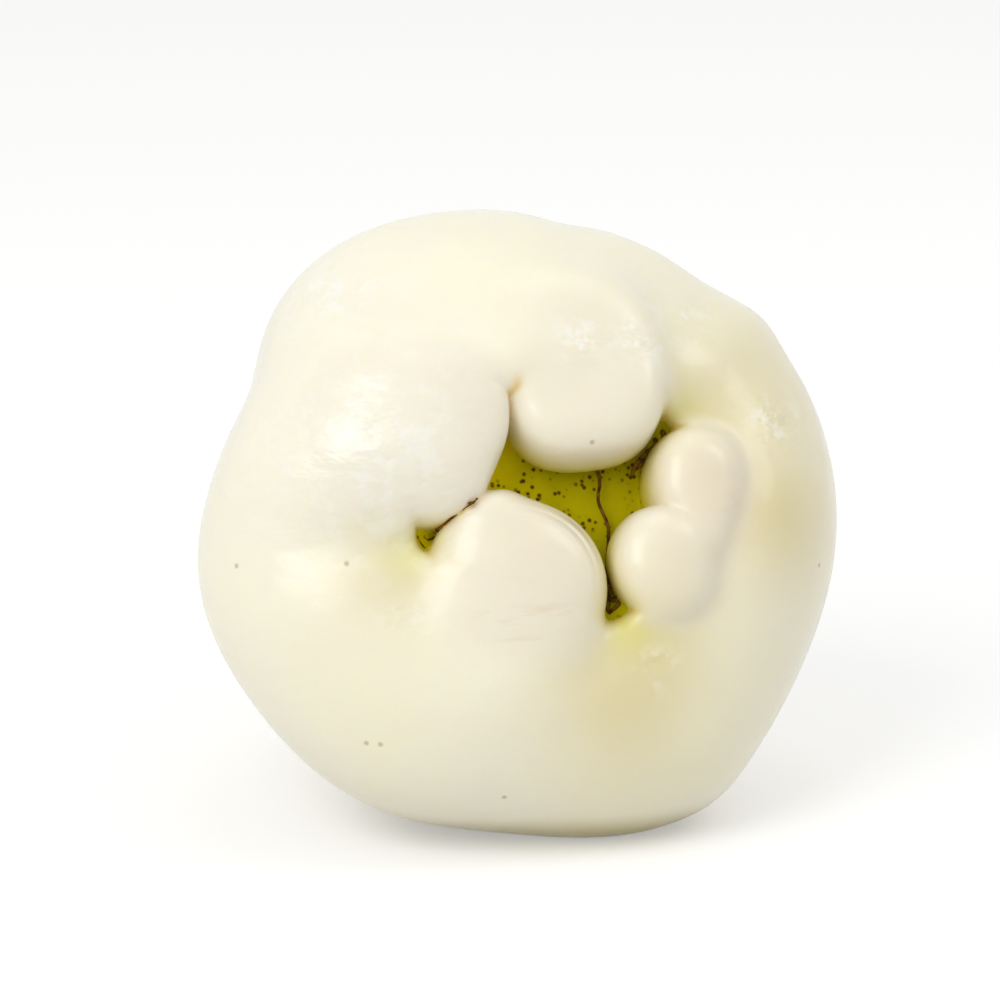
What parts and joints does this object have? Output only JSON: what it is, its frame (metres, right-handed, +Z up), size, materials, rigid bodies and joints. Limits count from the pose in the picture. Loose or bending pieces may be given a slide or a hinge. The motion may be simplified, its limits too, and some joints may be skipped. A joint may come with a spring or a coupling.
{
  "type": "wax apple",
  "caption": "Pale green-white wax apple, a squat bell-shaped fruit as picked, lying on its flank with the fleshy calyx lobes and open calyx cavity facing forward.",
  "frame": {"origin": "on the small flat that the fruit rests on, under its centre of mass", "axes": "+Z up; the fruit's own axis lies in the YZ plane, blossom end towards -Y and lifted 28 degrees, stem end towards +Y; +X to the right when facing the blossom end"},
  "size_m": [0.0627, 0.0615, 0.0568],
  "materials": {
    "skin": "waxy, soft gloss",
    "stem": "green stalk, brown scar",
    "dried_flower": "dry, matte"
  },
  "bodies": {
    "root": {"fruit": "skin", "stem": "stem", "style": "dried_flower", "stamen_remnant_left": "dried_flower", "stamen_remnant_upper": "dried_flower", "stamen_remnant_lower": "dried_flower"}
  },
  "joints": []
}
